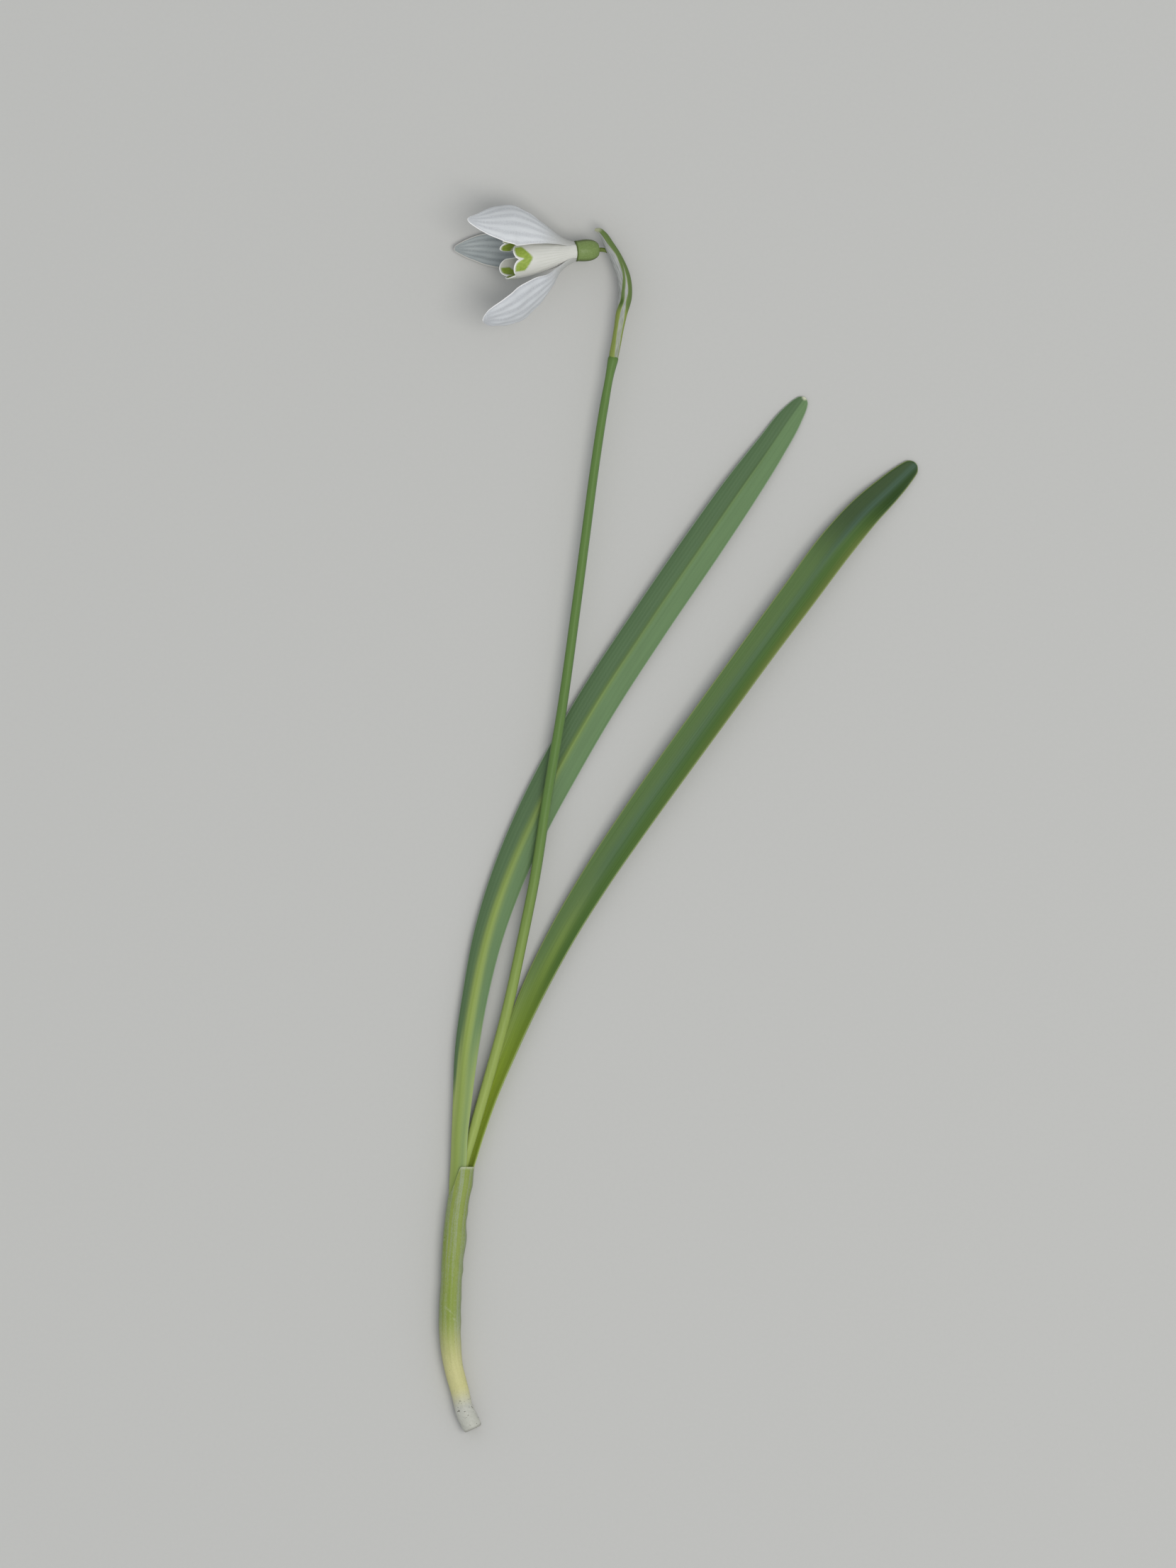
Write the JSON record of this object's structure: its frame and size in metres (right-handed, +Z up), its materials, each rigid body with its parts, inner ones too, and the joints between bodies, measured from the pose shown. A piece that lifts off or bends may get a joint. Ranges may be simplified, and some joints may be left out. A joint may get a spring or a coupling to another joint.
{
  "type": "snowdrop flower",
  "caption": "Picked snowdrop lying on its back: nodding white flower with green-marked inner cup, stalk, spathe, strap leaves and pale sheath.",
  "frame": {"origin": "centre of the bounding box, on the surface that the plant lies on", "axes": "+Y from the cut end towards the flower, the longest extent; +Z up off the surface, the shortest extent; +X to the leaf tips' side"},
  "size_m": [0.0863, 0.2219, 0.0145],
  "materials": {
    "sheath": "satin",
    "scale": "matte",
    "leaf_underside": "satin",
    "leaf_face": "satin",
    "stalk": "satin",
    "pedicel": "satin",
    "spathe": "satin",
    "ovary": "satin",
    "outer_petal": "satin",
    "inner_petal": "satin",
    "style": "satin",
    "anther": "matte"
  },
  "bodies": {
    "root": {"sheath": "sheath", "basal_scale": "scale", "leaf_left": "leaf_underside", "leaf_right": "leaf_face", "scape": "stalk", "pedicel": "pedicel", "spathe": "spathe", "ovary": "ovary", "outer_tepal_upper": "outer_petal", "outer_tepal_lower": "outer_petal", "outer_tepal_back": "outer_petal", "inner_tepal_front": "inner_petal", "inner_tepal_upper": "inner_petal", "inner_tepal_lower": "inner_petal", "style": "style", "stamen_1": "anther", "stamen_2": "anther", "stamen_3": "anther", "stamen_4": "anther", "stamen_5": "anther", "stamen_6": "anther"}
  },
  "joints": []
}
